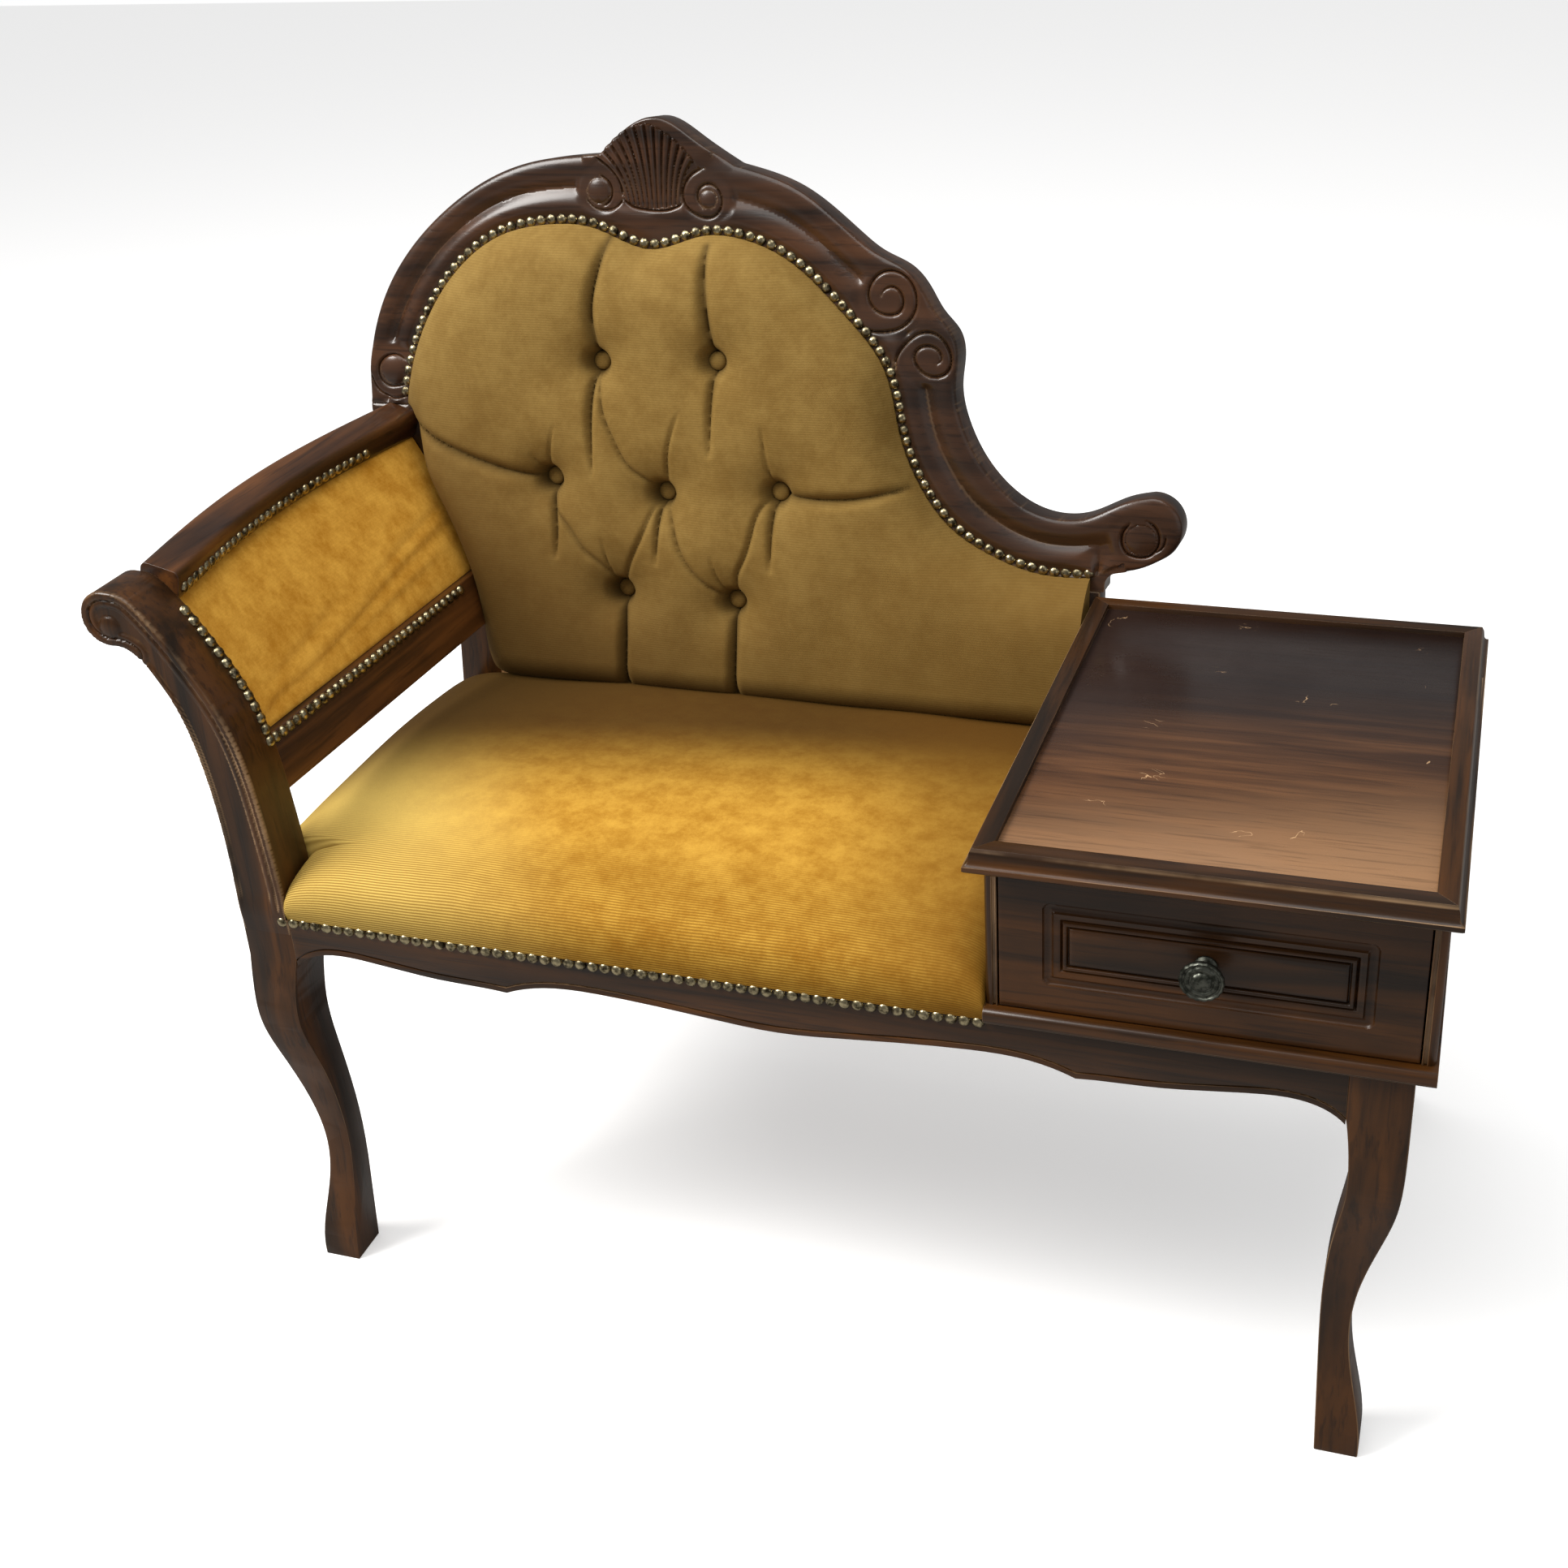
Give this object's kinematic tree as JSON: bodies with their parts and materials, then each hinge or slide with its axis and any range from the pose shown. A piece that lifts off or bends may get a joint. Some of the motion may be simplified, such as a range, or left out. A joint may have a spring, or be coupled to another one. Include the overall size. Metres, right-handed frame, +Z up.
{
  "type": "telephone bench",
  "caption": "Upholstered telephone bench with a tufted scroll back, padded arm at one end and a drawer table at the other.",
  "frame": {"origin": "on the floor, in the middle of the bounding box", "axes": "+X along the bench from the arm to the drawer table, +Y from the front to the back, +Z up"},
  "size_m": [1.0792, 0.5554, 0.9395],
  "materials": {
    "mahogany": "dark stained wood under satin lacquer",
    "inner_wood": "plain unfinished secondary wood",
    "table_veneer": "dark veneer under satin lacquer, lightly scratched",
    "back_velvet": "mustard velvet with a fine ribbed weave",
    "seat_velvet": "mustard-gold velvet",
    "arm_velvet": "mustard-gold velvet",
    "outside_cloth": "mustard cloth on the outside back",
    "nail_brass": "antique brass domes",
    "knob_metal": "darkened antique metal",
    "screw_steel": "plain steel"
  },
  "bodies": {
    "bench": {"front_leg_left": "mahogany", "front_leg_right": "mahogany", "rear_post_left": "mahogany", "rear_leg_right": "mahogany", "front_rail": "mahogany", "side_rail_left": "mahogany", "side_rail_right": "mahogany", "rear_rail": "mahogany", "middle_rail": "inner_wood", "corner_blocks": "inner_wood", "crest_left": "mahogany", "crest_segment": "mahogany", "crest_right": "mahogany", "back_ramp": "mahogany", "shell_carving": "mahogany", "inner_post": "mahogany", "back_lower_rail": "inner_wood", "back_board": "inner_wood", "outside_back": "outside_cloth", "back_cushion": "back_velvet", "back_buttons": "back_velvet", "seat_board": "inner_wood", "seat_cushion": "seat_velvet", "arm_top_rail": "mahogany", "arm_lower_rail": "mahogany", "arm_pad": "arm_velvet", "cabinet_side_left": "mahogany", "cabinet_side_right": "mahogany", "corner_beads": "mahogany", "cabinet_back": "inner_wood", "cabinet_foot": "mahogany", "bed_board": "mahogany", "top_panel": "table_veneer", "drawer_runners": "inner_wood", "top_edge_front": "mahogany", "top_edge_right": "mahogany", "top_edge_back": "mahogany", "top_edge_left": "mahogany", "seat_nails": "nail_brass", "back_nails": "nail_brass", "arm_nails": "nail_brass"},
    "drawer": {"drawer_front": "mahogany", "drawer_side_left": "inner_wood", "drawer_side_right": "inner_wood", "drawer_rear": "inner_wood", "drawer_bottom": "inner_wood", "drawer_knob": "knob_metal", "knob_screw": "screw_steel"}
  },
  "joints": [
    {"name": "drawer_slide", "type": "slide", "parent": "bench", "child": "drawer", "axis": [0, -1, 0], "range_m": [0, 0.26]}
  ]
}
